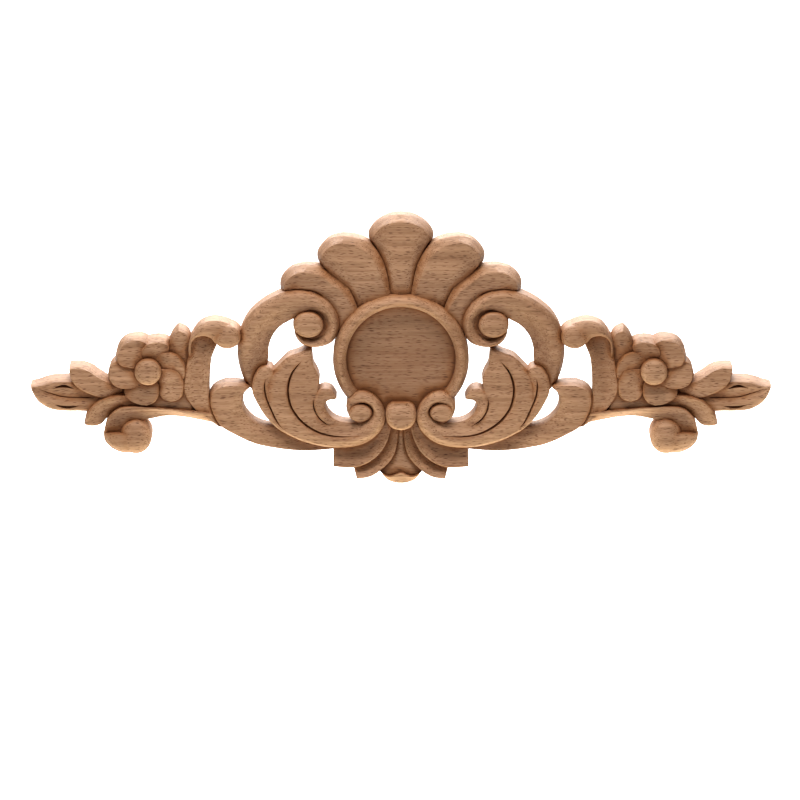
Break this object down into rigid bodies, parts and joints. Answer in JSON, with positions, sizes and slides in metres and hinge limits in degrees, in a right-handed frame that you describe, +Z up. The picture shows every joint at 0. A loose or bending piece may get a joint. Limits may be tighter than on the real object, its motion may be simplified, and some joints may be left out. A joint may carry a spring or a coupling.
{
  "type": "carved wooden applique",
  "caption": "Pierced and carved wooden furniture applique: a ringed medallion under a leaf crest, with scroll, leaf and flower wings, flat behind.",
  "frame": {"origin": "on the flat back, behind the centre of the medallion", "axes": "+X along the length, to the right as seen from the front; +Z up; +Y out of the flat back, so the carving faces -Y"},
  "size_m": [0.4, 0.02, 0.1486],
  "materials": {
    "wood": "bare sanded wood, fine grained, with the grain along the length"
  },
  "bodies": {
    "root": {"carved_applique": "wood"}
  },
  "joints": []
}
